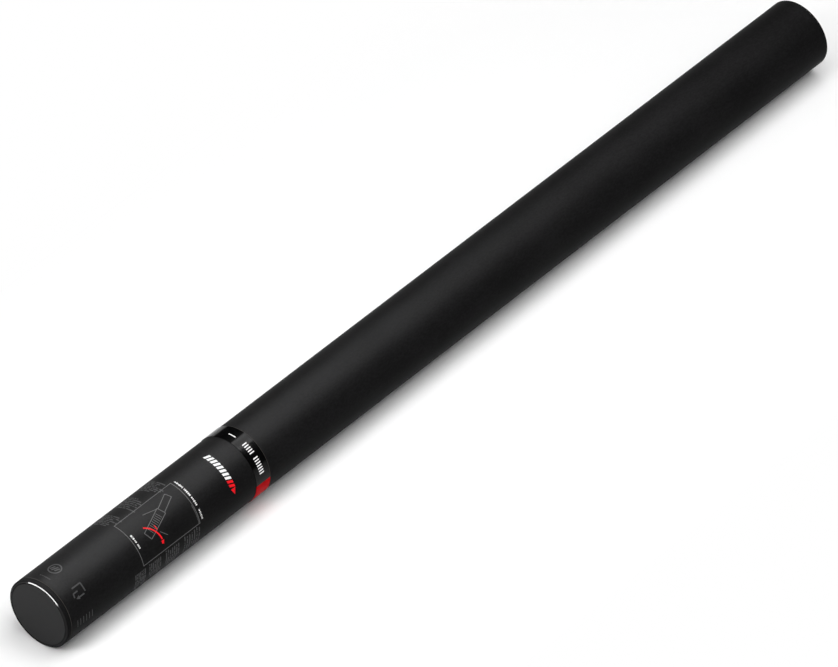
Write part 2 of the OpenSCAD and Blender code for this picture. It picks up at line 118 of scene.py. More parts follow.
class Flow:
    """A number that runs through a material's nodes. Arithmetic on it adds the Math nodes."""

    def __init__(self, nodes, socket):
        self.nodes = nodes
        self.socket = socket

    def maths(self, operation, *numbers):
        made = self.nodes.add("ShaderNodeMath", {"operation": operation}, dict(enumerate(numbers)))
        return Flow(self.nodes, made.outputs[0])

    def __add__(self, other):
        return self.maths("ADD", self, other)

    __radd__ = __add__

    def __sub__(self, other):
        return self.maths("SUBTRACT", self, other)

    def __rsub__(self, other):
        return self.maths("SUBTRACT", other, self)

    def __mul__(self, other):
        return self.maths("MULTIPLY", self, other)

    __rmul__ = __mul__

    def __truediv__(self, other):
        return self.maths("DIVIDE", self, other)

    def __pow__(self, other):
        return self.maths("POWER", self, other)

    def __lt__(self, other):
        return self.maths("LESS_THAN", self, other)

    def __abs__(self):
        return self.maths("ABSOLUTE", self)

    def fraction(self):
        return self.maths("FRACT", self)

    def larger(self, other):
        return self.maths("MAXIMUM", self, other)

    def waves(self, length):
        """Waves between -1 and 1 of that length."""
        turns = self * (FULL_TURN / length)
        return turns.maths("SINE", turns)

    def around(self, mean, swing):
        """Turns noise from 0 to 1 into a value that swings about a mean."""
        return (self - 0.5) * swing + mean


class Nodes:
    """A node tree, and the one method that adds a node to it."""

    def __init__(self, tree):
        self.tree = tree

    def add(self, kind, settings=None, sockets=None):
        """Adds a node of that type: its settings first, then its sockets' values or links."""
        made = self.tree.nodes.new(kind)
        for key, value in (settings or {}).items():
            setattr(made, key, value)
        for key, value in (sockets or {}).items():
            self.feed(made.inputs[key], value)
        return made

    def feed(self, socket, value):
        """Links a flow or another node's socket to this socket, or sets its value."""
        if isinstance(value, Flow):
            value = value.socket
        if isinstance(value, bpy.types.NodeSocket):
            self.tree.links.new(value, socket)
        else:
            socket.default_value = value

    def ramp(self, flow, low, high, start=0.0, end=1.0):
        """The start value below low, the end value above high and straight between."""
        made = self.add(
            "ShaderNodeMapRange", {"clamp": True},
            {"Value": flow, "From Min": low, "From Max": high, "To Min": start, "To Max": end},
        )
        return Flow(self, made.outputs[0])


MIX_FACTOR, MIX_A, MIX_B, MIX_COLOUR_OUT = 0, 6, 7, 2
SHADER_SOCKETS = {"colour": "Base Color", "roughness": "Roughness", "coat": "Coat Weight"}
NOISE_ROUGHNESS = 0.55


class Finish(Nodes):
    """A material under way: a Principled shader with patterns on Object coordinates, in metres."""

    def __init__(self, name, constants):
        self.material = bpy.data.materials.new(name)
        self.material.use_nodes = True
        super().__init__(self.material.node_tree)
        self.shader = self.tree.nodes["Principled BSDF"]
        for key, value in constants.items():
            self.shader.inputs[key].default_value = value
        self.coords = self.add("ShaderNodeTexCoord").outputs["Object"]
        place = self.add("ShaderNodeSeparateXYZ", None, {0: self.coords}).outputs
        self.x, self.y = Flow(self, place["X"]), Flow(self, place["Y"])
        self.z = Flow(self, place["Z"]) - AXIS_Z
        self.relief = None

    def radius(self):
        """Distance from the tube's axis."""
        return (self.y * self.y + self.z * self.z) ** 0.5

    def turn(self):
        """Place round the axis, from 0 to 1."""
        return self.y.maths("ARCTAN2", self.y, self.z) / FULL_TURN + 0.5

    def noise(self, size, detail=2.0, stretch=(1, 1, 1)):
        """Even noise from 0 to 1 with blotches about size wide, stretched along some axes."""
        scale = [1 / (size * s) for s in stretch]
        mapped = self.add("ShaderNodeMapping", None, {"Vector": self.coords, "Scale": scale})
        made = self.add("ShaderNodeTexNoise", None, {
            "Vector": mapped.outputs[0], "Scale": 1.0, "Detail": detail,
            "Roughness": NOISE_ROUGHNESS,
        })
        return Flow(self, made.outputs[0])

    def blend(self, factor, a, b):
        """A colour between a and b."""
        inputs = {MIX_FACTOR: factor, MIX_A: colour_of(a), MIX_B: colour_of(b)}
        mixed = self.add("ShaderNodeMix", {"data_type": "RGBA"}, inputs)
        return mixed.outputs[MIX_COLOUR_OUT]

    def tones(self, factor, colour, dark, pale=1.0):
        """A colour between two shades of itself."""
        return self.blend(factor, shade(colour, dark), shade(colour, pale))

    def set(self, **flows):
        """Feeds the shader: colour, roughness or coat."""
        for key, value in flows.items():
            self.feed(self.shader.inputs[SHADER_SOCKETS[key]], value)

    def bump(self, height, depth):
        """Adds relief: height runs from 0 to 1 and depth is its real size in metres."""
        made = self.add(
            "ShaderNodeBump", None, {"Height": height, "Distance": depth, "Strength": 1.0}
        )
        if self.relief:
            self.feed(made.inputs["Normal"], self.relief)
        self.relief = made.outputs[0]
        self.feed(self.shader.inputs["Normal"], self.relief)


def colour_of(value):
    """Three numbers as the four that a colour socket holds. A link stays a link."""
    return value if isinstance(value, bpy.types.NodeSocket) else (*value[:3], 1.0)


def shade(colour, factor):
    """A darker or lighter copy of a colour."""
    return tuple(c * factor for c in colour[:3])


# Finishes

def laminated_card(name, colour):
    """Matt laminated black card outside, raw board with its plies on the cut ends and inside."""
    f = Finish(name, {"Specular IOR Level": 0.02})
    ply_pitch, seam_lead, seam_width = 0.42 * MM, 118 * MM, 0.006
    raw_dark, raw_pale, glue = (0.036, 0.033, 0.03), (0.066, 0.061, 0.056), (0.016, 0.014, 0.012)
    skin = f.ramp(f.radius(), TUBE_R - 0.08 * MM, TUBE_R - 0.04 * MM)
    fibre = f.noise(0.5 * MM, 3.0)
    fleck = f.noise(1.3 * MM, 3.0, (1.6, 1, 1))
    blotch = f.noise(26 * MM, 2.0, (2.2, 1, 1))
    tone = f.ramp(blotch * 0.4 + fleck * 0.6, 0.4, 0.6)
    outside = f.tones(tone, colour, 0.72, 1.28)
    ply = (f.radius() - BORE_R).waves(ply_pitch)
    seam = f.ramp(abs((f.turn() + f.x / seam_lead).fraction() - 0.5), 0.0, seam_width)
    board = f.blend(f.ramp(fibre + ply * 0.12, 0.3, 0.7), raw_dark, raw_pale)
    inside = f.blend(seam, glue, board)
    f.set(
        colour=f.blend(skin, inside, outside),
        roughness=0.86 - skin * 0.36 + (fleck - 0.5) * 0.16,
    )
    f.bump(fibre, 0.012 * MM)
    f.bump(fleck, 0.03 * MM)
    f.bump(f.noise(7 * MM, 2.0, (3, 1, 1)), 0.03 * MM)
    return f.material


def gloss_tape(name, colour, spec):
    """Film tape: glossy, with the faint ripples of a strip pulled round a tube."""
    f = Finish(name, {"Specular IOR Level": spec})
    ripple = f.noise(9 * MM, 1.0, (3, 1, 1))
    dust = f.ramp(f.noise(0.35 * MM, 1.0), 0.62, 0.74)
    f.set(colour=f.tones(dust * 0.25, colour, 1.0, 1.6), roughness=0.12 + dust * 0.12)
    f.bump(ripple, 0.02 * MM)
    return f.material


def moulding(name, colour, roughness):
    """Injection-moulded plastic with a spark-eroded grain."""
    f = Finish(name, {"Specular IOR Level": 0.2})
    grain = f.noise(0.25 * MM, 2.0)
    cloud = f.noise(14 * MM, 2.0)
    f.set(colour=f.tones(cloud, colour, 0.93, 1.07), roughness=grain.around(roughness, 0.1))
    f.bump(grain, 0.006 * MM)
    return f.material


def cap_face(name, colour):
    """The base cap's flat face: a fine satin grain with faint turning marks."""
    f = Finish(name, {"Specular IOR Level": 0.1})
    grain = f.noise(0.22 * MM, 2.0)
    marks = f.radius().waves(0.5 * MM)
    cloud = f.noise(12 * MM, 2.0)
    f.set(colour=f.tones(cloud, colour, 0.95, 1.05), roughness=grain.around(0.32, 0.08))
    f.bump(grain, 0.006 * MM)
    f.bump(marks, 0.0006 * MM)
    return f.material


def cap_rim(name, colour, polished):
    """The base cap's edge: matt, with a polished chamfer inside that radius."""
    f = Finish(name, {"Specular IOR Level": 0.01, "Coat Roughness": 0.1})
    grain = f.noise(0.22 * MM, 2.0)
    behind_face = f.ramp(f.x, BASE_X + 0.02 * MM, BASE_X + 0.06 * MM)
    shine = behind_face * (f.radius() < polished)
    f.set(
        colour=f.tones(grain, colour, 0.9, 1.1), roughness=grain.around(0.6, 0.05),
        coat=shine * 0.25,
    )
    return f.material


def metal(name, colour, roughness, round_axis=True):
    """Turned or drawn metal: fine lines round the axis or along it."""
    f = Finish(name, {"Metallic": 1.0})
    stretch = (1, 60, 60) if round_axis else (60, 1, 1)
    lines = f.noise(0.18 * MM, 2.0, stretch)
    stain = f.noise(7 * MM, 3.0)
    f.set(
        colour=f.tones(f.ramp(stain, 0.3, 0.7), colour, 0.88),
        roughness=lines.around(roughness, 0.18) + (stain - 0.5) * 0.08,
    )
    f.bump(lines, 0.004 * MM)
    return f.material


def rubber(name, colour):
    """Nitrile rubber with a dull bloom."""
    f = Finish(name, {"Specular IOR Level": 0.3})
    bloom = f.noise(2.5 * MM, 3.0)
    f.set(colour=f.tones(f.ramp(bloom, 0.4, 0.75), colour, 1.0, 1.8), roughness=0.62 + bloom * 0.16)
    f.bump(f.noise(0.3 * MM, 2.0), 0.008 * MM)
    return f.material


def pressed_felt(name, colour):
    """Pressed wool: short fibres that cross every way, with painted shade in the hollows between
    them.
    """
    f = Finish(name, {"Specular IOR Level": 0.1})
    across = f.noise(0.9 * MM, 3.0, (1, 6, 1))
    along = f.noise(0.9 * MM, 3.0, (1, 1, 6))
    fibres = across.larger(along)
    # The colour darkens where the fibres' relief is low: painted shade in the hollows.
    f.set(colour=f.tones(f.ramp(fibres, 0.42, 0.68), colour, 0.62, 1.15), roughness=0.95)
    f.bump(fibres, 0.16 * MM)
    return f.material


def paper_board(name, colour):
    """Uncoated board with a fibrous face."""
    f = Finish(name, {"Specular IOR Level": 0.2})
    fibre = f.noise(1.1 * MM, 4.0, (1, 3, 1))
    fleck = f.ramp(f.noise(0.6 * MM, 1.0), 0.66, 0.72)
    pale = f.tones(f.ramp(fibre, 0.35, 0.65), colour, 0.93)
    f.set(colour=f.blend(fleck * 0.35, pale, shade(colour, 0.55)), roughness=0.88)
    f.bump(fibre, 0.03 * MM)
    return f.material


def silver_film(name, colour):
    """Metallised film: mirror-bright with faint creases, duller where it is scuffed."""
    f = Finish(name, {"Metallic": 1.0})
    crease = f.noise(5 * MM, 2.0, (2.5, 1, 1))
    scuff = f.noise(0.8 * MM, 2.0)
    f.set(
        colour=f.tones(scuff, colour, 0.86),
        roughness=0.1 + f.ramp(scuff, 0.45, 0.8) * 0.22,
    )
    f.bump(crease, 0.05 * MM)
    return f.material


def ink(name, colour):
    """Screen-printed ink: a little uneven, with pinholes where the card shows."""
    f = Finish(name, {"Specular IOR Level": 0.03})
    cover = f.noise(0.35 * MM, 2.0)
    f.set(colour=f.tones(f.ramp(cover, 0.3, 0.5), colour, 0.88), roughness=0.45 + cover * 0.12)
    f.bump(cover, 0.004 * MM)
    return f.material


# Mesh helpers

def placed(bm, name, material):
    """Makes an object of the mesh and puts it in the scene."""
    mesh = bpy.data.meshes.new(name)
    bm.to_mesh(mesh)
    bm.free()
    mesh.materials.append(material)
    piece = bpy.data.objects.new(name, mesh)
    bpy.context.scene.collection.objects.link(piece)
    return piece


def finished(bm, name, material, body, slot, *stands_for, smooth=34.0):
    """Makes the piece from its mesh, with faces outwards, and hangs it on its CAD body."""
    bmesh.ops.remove_doubles(bm, verts=bm.verts, dist=WELD)
    bmesh.ops.recalc_face_normals(bm, faces=bm.faces)
    piece = placed(bm, name, material)
    piece.data.shade_smooth()
    piece.data.set_sharp_from_angle(angle=math.radians(smooth))
    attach(piece, body)
    if stands_for:
        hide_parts(*stands_for)
    return piece


def verts_of(edges):
    """The vertices of some edges, each once."""
    return list(dict.fromkeys(v for e in edges for v in e.verts))


def reach(vert):
    """How far a vertex is from the tube's axis."""
    return math.hypot(vert.co.y, vert.co.z - AXIS_Z)


def chain(bm, points, closed=True):
    """Joins (x, radius) points into a line above the axis and returns its edges."""
    verts = [bm.verts.new((x, 0, AXIS_Z + r)) for x, r in points]
    ends = verts[1:] + verts[:1] if closed else verts[1:]
    return [bm.edges.new(pair) for pair in zip(verts, ends)]


def turned(bm, points, steps, closed=True):
    """Turns an outline once round the tube's axis."""
    edges = chain(bm, points, closed)
    bmesh.ops.spin(
        bm, geom=verts_of(edges) + edges, cent=(0, 0, AXIS_Z), axis=(1, 0, 0), dvec=(0, 0, 0),
        angle=FULL_TURN, steps=steps, use_merge=True, use_duplicate=False,
    )
    bmesh.ops.remove_doubles(bm, verts=bm.verts, dist=WELD)


def bevelled(bm, edges, width, segments):
    """Rounds those edges."""
    bmesh.ops.bevel(
        bm, geom=edges, offset=width, segments=segments, profile=0.5, affect="EDGES", material=-1,
        clamp_overlap=True,
    )


def soften(bm, width, segments=3, sharper_than=40.0):
    """Rounds every edge that turns by more than that angle."""
    limit = math.radians(sharper_than)
    sharp = [e for e in bm.edges if len(e.link_faces) == 2 and e.calc_face_angle() > limit]
    bevelled(bm, sharp, width, segments)


def close_ends(bm, sides):
    """Fills the open ends of a tube or strip with faces of at most that many sides."""
    bmesh.ops.holes_fill(bm, edges=[e for e in bm.edges if e.is_boundary], sides=sides)


def arc_sector(bm, x0, x1, r0, r1, start, sweep, steps):
    """A curved strip round part of the tube. Angles run from the top towards the viewer's side."""
    near = 0.4 * MM
    outline = [(x0, r0), (x1, r0), (x1, r1), (x1 - near, r1), (x0 + near, r1), (x0, r1)]
    edges = chain(bm, outline)
    verts = verts_of(edges)
    middle = (0, 0, AXIS_Z)
    bmesh.ops.rotate(bm, verts=verts, cent=middle, matrix=Matrix.Rotation(start, 3, "X"))
    bmesh.ops.spin(
        bm, geom=verts + edges, cent=middle, axis=(1, 0, 0), dvec=(0, 0, 0), angle=sweep,
        steps=steps, use_merge=False, use_duplicate=False,
    )
    close_ends(bm, len(outline))


def even(start, end, step):
    """Places from start to end, about a step apart, both ends left out."""
    count = max(1, round((end - start) / step))
    return [start + (end - start) * i / count for i in range(1, count)]


# Print. Marks are drawn flat in millimetres: u round the tube from its top, s along it from the
# base face.

INK_STEP = 1.2
TEXT_SIZE = 1.38


def scaled(u, s, width, height):
    """A matrix that puts a unit square there at that size."""
    return Matrix.Translation((u, s, 0)) @ Matrix.Diagonal((width, height, 1, 1))


class Print:
    """Marks of one ink, drawn flat and then laid round the tube."""

    def __init__(self):
        self.bm = bmesh.new()

    def grid(self, place, rows=1):
        """A unit square under that matrix, or rows of it."""
        return bmesh.ops.create_grid(
            self.bm, x_segments=1, y_segments=rows, size=0.5, matrix=place
        )["verts"]

    def bar(self, start, end, width):
        """A straight stroke."""
        start, end = Vector((*start, 0)), Vector((*end, 0))
        along = end - start
        turn = Matrix.Rotation(math.atan2(along.y, along.x), 4, "Z")
        size = Matrix.Diagonal((along.length, width, 1, 1))
        self.grid(Matrix.Translation((start + end) / 2) @ turn @ size)

    def box(self, u0, u1, s0, s1, width):
        """The outline of a rectangle."""
        self.hollow(self.grid(scaled((u0 + u1) / 2, (s0 + s1) / 2, u1 - u0, s1 - s0)), width)

    def disc(self, u, s, radius, segments=48):
        """A filled circle."""
        place = Matrix.Translation((u, s, 0))
        return bmesh.ops.create_circle(
            self.bm, cap_ends=True, segments=segments, radius=radius, matrix=place
        )["verts"]

    def ring(self, u, s, radius, width):
        """A circle's outline."""
        self.hollow(self.disc(u, s, radius), width)

    def hollow(self, verts, width):
        """Leaves only a rim of a face."""
        face = verts[0].link_faces[0]
        bmesh.ops.inset_region(
            self.bm, faces=[face], thickness=width, use_boundary=True, use_even_offset=True
        )
        bmesh.ops.delete(self.bm, geom=[face], context="FACES")

    def arc(self, u, s, radius, start, end, width):
        """Part of a ring, between two angles in degrees."""
        ends = [self.bm.verts.new((u + radius + side * width / 2, s, 0)) for side in (-1, 1)]
        edge = self.bm.edges.new(ends)
        middle = (u, s, 0)
        first = Matrix.Rotation(math.radians(start), 3, "Z")
        bmesh.ops.rotate(self.bm, verts=ends, cent=middle, matrix=first)
        bmesh.ops.spin(
            self.bm, geom=[*ends, edge], cent=middle, axis=(0, 0, 1), dvec=(0, 0, 0),
            angle=math.radians(end - start), steps=24, use_merge=False, use_duplicate=False,
        )

    def head(self, u, s, size, heading):
        """An arrowhead that points along a heading in degrees."""
        slender, radius = 0.8, 0.6
        place = Matrix.Translation((u, s, 0)) @ Matrix.Rotation(math.radians(heading), 4, "Z")
        place = place @ Matrix.Diagonal((size, size * slender, 1, 1))
        place = place @ Matrix.Rotation(-math.pi / 2, 4, "Z")
        bmesh.ops.create_circle(self.bm, cap_ends=True, segments=3, radius=radius, matrix=place)

    def slash(self, u, s, width, height, lean):
        """A leaning dash across the tube."""
        shear = Matrix(((1, lean, 0, 0), (0, 1, 0, 0), (0, 0, 1, 0), (0, 0, 0, 1)))
        size = Matrix.Diagonal((width, height, 1, 1))
        self.grid(Matrix.Translation((u, s, 0)) @ shear @ size)

    def chevron(self, u, s, width, height, point):
        """A V that points round the tube."""
        verts = self.grid(scaled(u, s, width, height), rows=2)
        tip = [v for v in verts if abs(v.co.y - s) < TOLERANCE]
        bmesh.ops.translate(self.bm, verts=tip, vec=(point, 0, 0))

    def digit(self, text, u, s, height, turn):
        """A plain numeral in the built-in face, turned by some degrees."""
        curve = bpy.data.curves.new("numeral", "FONT")
        curve.body, curve.size = text, height * TEXT_SIZE
        curve.align_x, curve.align_y = "CENTER", "CENTER"
        holder = bpy.data.objects.new("numeral", curve)
        bpy.context.scene.collection.objects.link(holder)
        bpy.context.view_layer.update()
        flat = holder.to_mesh()
        turned_by = Matrix.Rotation(math.radians(turn), 4, "Z")
        flat.transform(Matrix.Translation((u, s, 0)) @ turned_by)
        self.bm.from_mesh(flat)
        holder.to_mesh_clear()
        bpy.data.objects.remove(holder)
        bpy.data.curves.remove(curve)

    def lines(self, u0, u1, s0, s1, rows, height, seed):
        """Rows of broken bars, as small print looks from a step away."""
        ragged, shortest, longer, gap = 0.3, 1.6, 3.2, 0.8
        for row in range(rows):
            s = s0 + (s1 - s0) * (row + 0.5) / rows
            u, step = u0, 0
            stop = u1 - (u1 - u0) * ragged * noise.cell(Vector((seed, row, 0.5)))
            while u < stop - 1.0:
                step += 1
                length = shortest + longer * noise.cell(Vector((seed + 0.5, row, step)))
                self.bar((u, s), (min(u + length, stop), s), height)
                u += length + gap

    def words(self, u0, u1, s, height, seed):
        """One row of short upright bars of uneven width, as bold small print looks."""
        narrow, wider, low, gap = 0.5, 0.6, 0.75, 0.32
        u, step = u0, 0
        while u < u1 - narrow:
            step += 1
            width = narrow + wider * noise.cell(Vector((seed + 0.3, step, 1.5)))
            tall = height * (low + (1 - low) * noise.cell(Vector((seed, step, 2.5))))
            self.slash(u + width / 2, s, width, tall, 0.0)
            u += width + gap

    def laid(self, radius, thickness):
        """Cuts the marks into strips, gives them the ink's thickness and bends them round."""
        bm = self.bm
        places = [v.co.x for v in bm.verts]
        for u in even(min(places), max(places), INK_STEP):
            everything = bm.verts[:] + bm.edges[:] + bm.faces[:]
            bmesh.ops.bisect_plane(bm, geom=everything, plane_co=(u, 0, 0), plane_no=(1, 0, 0))
        raised = bmesh.ops.extrude_face_region(bm, geom=bm.faces[:])["geom"]
        top = [v for v in raised if isinstance(v, bmesh.types.BMVert)]
        bmesh.ops.translate(bm, verts=top, vec=(0, 0, thickness / MM))
        for v in bm.verts:
            v.co = on_tube(v.co.x * MM, v.co.y * MM, radius + v.co.z * MM)
        return bm


def on_tube(u, s, radius):
    """The point u round the tube's wall from its top, towards the viewer's side, and s along it."""
    angle = u / TUBE_R
    return Vector((BASE_X + s, -radius * math.sin(angle), AXIS_Z + radius * math.cos(angle)))


def round_by(degrees):
    """Millimetres round the tube's wall for an angle from its top."""
    return math.radians(degrees) * TUBE_R / MM


# Settings

def colour_setting(name, description, default):
    return FloatVectorProperty(
        name=name, description=description, default=default, size=3, min=0, max=1, subtype="COLOR"
    )


def length_setting(name, description, default):
    return FloatProperty(name=name, description=description, default=default, min=0, unit="LENGTH")


def angle_setting(name, description, degrees):
    return FloatProperty(
        name=name, description=description, default=math.radians(degrees), subtype="ANGLE"
    )


class CannonColours(bpy.types.PropertyGroup):
    """Colours of the cannon's finishes."""

    card: colour_setting("Card", "Laminated card of both tubes", (0.006, 0.006, 0.0062))
    tape: colour_setting("Band tape", "Tape of the safety band", (0.0015, 0.0015, 0.0016))
    tab: colour_setting("Pull tab", "Film of the pull tab", (0.38, 0.003, 0.005))
    cap: colour_setting("Base cap", "Face of the base cap", (0.0072, 0.0072, 0.0075))
    rim: colour_setting("Cap rim", "Edge of the base cap", (0.0065, 0.0065, 0.0067))
    black: colour_setting("Black mouldings", "Liner, breech, pusher, cap", (0.028, 0.028, 0.03))
    grey: colour_setting("Grey mouldings", "Cam sleeve and carrier", (0.36, 0.37, 0.385))
    felt: colour_setting("Felt", "Wad and sealing ring", (0.4, 0.385, 0.35))
    board: colour_setting("Board", "Wad in front of the rolls", (0.8, 0.78, 0.73))
    film: colour_setting("Film", "Metallised streamer film", (0.86, 0.87, 0.89))
    white_ink: colour_setting("White ink", "Bright print", (0.86, 0.86, 0.86))
    grey_ink: colour_setting("Grey ink", "Lines of the drawing", (0.13, 0.13, 0.13))
    faint_ink: colour_setting("Faint ink", "Small print and icons", (0.055, 0.055, 0.056))
    red_ink: colour_setting("Red ink", "Twist marks", (0.8, 0.008, 0.014))


class CannonSizes(bpy.types.PropertyGroup):
    """Sizes that the looks add to the frame's own."""

    round_steps: IntProperty(
        name="Steps round", description="Faces round each turned piece", default=192, min=24
    )
    wall: length_setting("Tube wall", "Wall of the card tubes", 2 * MM)
    edge: length_setting("Tube edge", "Rounding of the tubes' cut edges", 0.6 * MM)
    rim: length_setting("Cap rim", "Rounding of the base cap's rim", 0.6 * MM)
    ink: length_setting("Ink", "Thickness of the print", 0.03 * MM)
    tape: length_setting("Tape", "Thickness of the safety band", 0.3 * MM)
    film_pitch: length_setting("Film pitch", "From one turn of a roll to the next", 0.26 * MM)
    film: length_setting("Film", "Thickness that a turn of film shows", 0.17 * MM)


class CannonStage(bpy.types.PropertyGroup):
    """Where the camera stands and how the studio is lit."""

    distance: length_setting("Distance", "From the camera to the middle of the tube", 8.756)
    elevation: angle_setting("Elevation", "Camera above the horizon", 40.537)
    heading: angle_setting("Heading", "Camera round the tube, from along it", 40.342)
    lens: FloatProperty(
        name="Lens", description="Focal length in millimetres", default=551.8, min=1
    )
    brightness: FloatProperty(
        name="Brightness", description="Scales every softbox", default=1, min=0
    )


class Builder:
    """What every build operator shares."""

    bl_options = {"REGISTER", "UNDO"}

    @classmethod
    def poll(cls, context):
        return context.scene is not None

    def execute(self, context):
        scene = context.scene
        self.build(scene.cannon_colours, scene.cannon_sizes)
        return {"FINISHED"}


class CANNON_OT_card_tubes(Builder, bpy.types.Operator):
    """Build the barrel and handle tubes of laminated card"""

    bl_idname = "cannon.card_tubes"
    bl_label = "Card Tubes"

    def build(self, colours, sizes):
        material = laminated_card("laminated_card", colours.card)
        end, pitch = MM, 20 * MM
        bore = TUBE_R - sizes.wall
        for name, node, body, slot in (
            ("barrel_card", "barrel_tube", "barrel", "black_card"),
            ("handle_card", "handle_tube", "handle", "printed_card"),
        ):
            x0, x1 = span(node)
            rings = [x0, x0 + end, *even(x0, x1, pitch), x1 - end, x1]
            bm = bmesh.new()
            outline = [(x, TUBE_R) for x in rings] + [(x, bore) for x in reversed(rings)]
            turned(bm, outline, sizes.round_steps)
            soften(bm, sizes.edge)
            finished(bm, name, material, body, slot, node)


class CANNON_OT_base_cap(Builder, bpy.types.Operator):
    """Build the moulded cap that closes the handle"""

    bl_idname = "cannon.base_cap"
    bl_label = "Base Cap"

    def build(self, colours, sizes):
        front, tip = span("base_cap")
        back = span("handle_tube")[0]
        flange = front + 0.46 * MM
        face_r, chamfer_r, foot_r = (TUBE_R - inset * MM for inset in (2.7, 1.75, 1.01))
        plug_r, wall = TUBE_R - sizes.wall - 0.1 * MM, 2.2 * MM
        hub_r, hub_tip = 5 * MM, tip - 0.8 * MM
        bm = bmesh.new()
        turned(bm, [
            (front, 0), (front, 0.5 * TUBE_R), (front, face_r), (front, chamfer_r),
            (flange, foot_r), (flange, TUBE_R), (back - 0.4 * MM, TUBE_R), (back, TUBE_R),
            (back, plug_r), (tip, plug_r), (tip, plug_r - wall), (back, plug_r - wall),
            (back, hub_r), (hub_tip, hub_r), (hub_tip, 0),
        ], sizes.round_steps, closed=False)
        for x, radius, width in (
            (front, chamfer_r, 0.1 * MM), (flange, foot_r, 0.08 * MM), (flange, TUBE_R, sizes.rim),
        ):
            bevelled(bm, edges_at(bm, x, radius), width, 6)
        soften(bm, 0.25 * MM, 2)
        add_webs(bm, back, hub_r, plug_r - wall, wall)
        for face in bm.faces:
            face.material_index = int(any(reach(v) > face_r + 0.1 * MM for v in face.verts))
        face_finish = cap_face("cap_face", colours.cap)
        piece = finished(
            bm, "end_cap", face_finish, "handle", "cap_plastic", "base_cap", smooth=40
        )
        piece.data.materials.append(cap_rim("cap_rim", colours.rim, foot_r))
        bpy.data.collections[RIM_LIT].objects.link(piece)


def edges_at(bm, x, radius):
    """The edges that run round the axis at that place and radius."""
    return [e for e in bm.edges if all(
        abs(v.co.x - x) < TOLERANCE and abs(reach(v) - radius) < TOLERANCE for v in e.verts
    )]


def add_webs(bm, back, inner, outer, thickness):
    """Six flat webs between the cap's hub and its plug."""
    length, overlap = 10.4 * MM, MM
    for i in range(3):
        turn = Matrix.Rotation(i * math.pi / 3, 4, "X")
        place = Matrix.Translation((back + 5 * MM, 0, AXIS_Z)) @ turn
        for side in (-1, 1):
            middle = Matrix.Translation((0, side * (inner + outer) / 2, 0))
            size = Matrix.Diagonal((length, outer - inner + overlap, thickness, 1))
            bmesh.ops.create_cube(bm, size=1, matrix=place @ middle @ size)


class CANNON_OT_safety_band(Builder, bpy.types.Operator):
    """Build the tape round the joint and its pull tab"""

    bl_idname = "cannon.safety_band"
    bl_label = "Safety Band"

    def build(self, colours, sizes):
        start, tab, slit = (math.radians(degrees) for degrees in (90, 50, 1))
        inner, outer = BAND_RO - sizes.tape, BAND_RO - sizes.ink
        black = gloss_tape("band_tape", colours.tape, 0.1)
        red = gloss_tape("tab_film", colours.tab, 0.005)
        for name, node, slot, material, first, sweep, steps in (
            ("band_tape", "safety_band", "band_tape", black,
             start + tab + slit, FULL_TURN - tab - slit, 168),
            ("tab_film", "pull_tab", "tab_tape", red, start, tab, 28),
        ):
            bm = bmesh.new()
            arc_sector(bm, *BAND_X, inner, outer, first, sweep, steps)
            soften(bm, 0.03 * MM, 1)
            finished(bm, name, material, "band", slot, node)


class CANNON_OT_print(Builder, bpy.types.Operator):
    """Lay the printed marks on the handle and the band"""

    bl_idname = "cannon.print"
    bl_label = "Print"

    def build(self, colours, sizes):
        inks = {
            key: ink(key + "_ink", getattr(colours, key + "_ink"))
            for key in ("white", "grey", "faint", "red")
        }
        handle = {key: Print() for key in inks}
        twist_mark(handle["white"], handle["red"])
        drawing_panel(handle["white"], handle["grey"], handle["red"])
        small_print(handle["faint"])
        base_icons(handle["faint"])
        for key, marks in handle.items():
            bm = marks.laid(TUBE_R, sizes.ink)
            finished(bm, "handle_print_" + key, inks[key], "handle", "printed_card")
        band = Print()
        band_marks(band)
        bm = band.laid(BAND_RO - sizes.ink, sizes.ink)
        finished(bm, "band_print", inks["white"], "band", "band_tape")


def twist_mark(white, red):
    """Leaning dashes round the handle that end in red ones and an arrowhead."""
    s, width, height, lean = 169.9, 1.92, 4.75, 0.35
    first, pitch, white_dashes, red_dashes = 0.64, 2.96, 8, 2
    count = white_dashes + red_dashes
    for i in range(count):
        marks = white if i < white_dashes else red
        marks.slash(first + i * pitch, s, width, height, lean)
    red.head(first + count * pitch + 0.7, s, 5.1, 0)


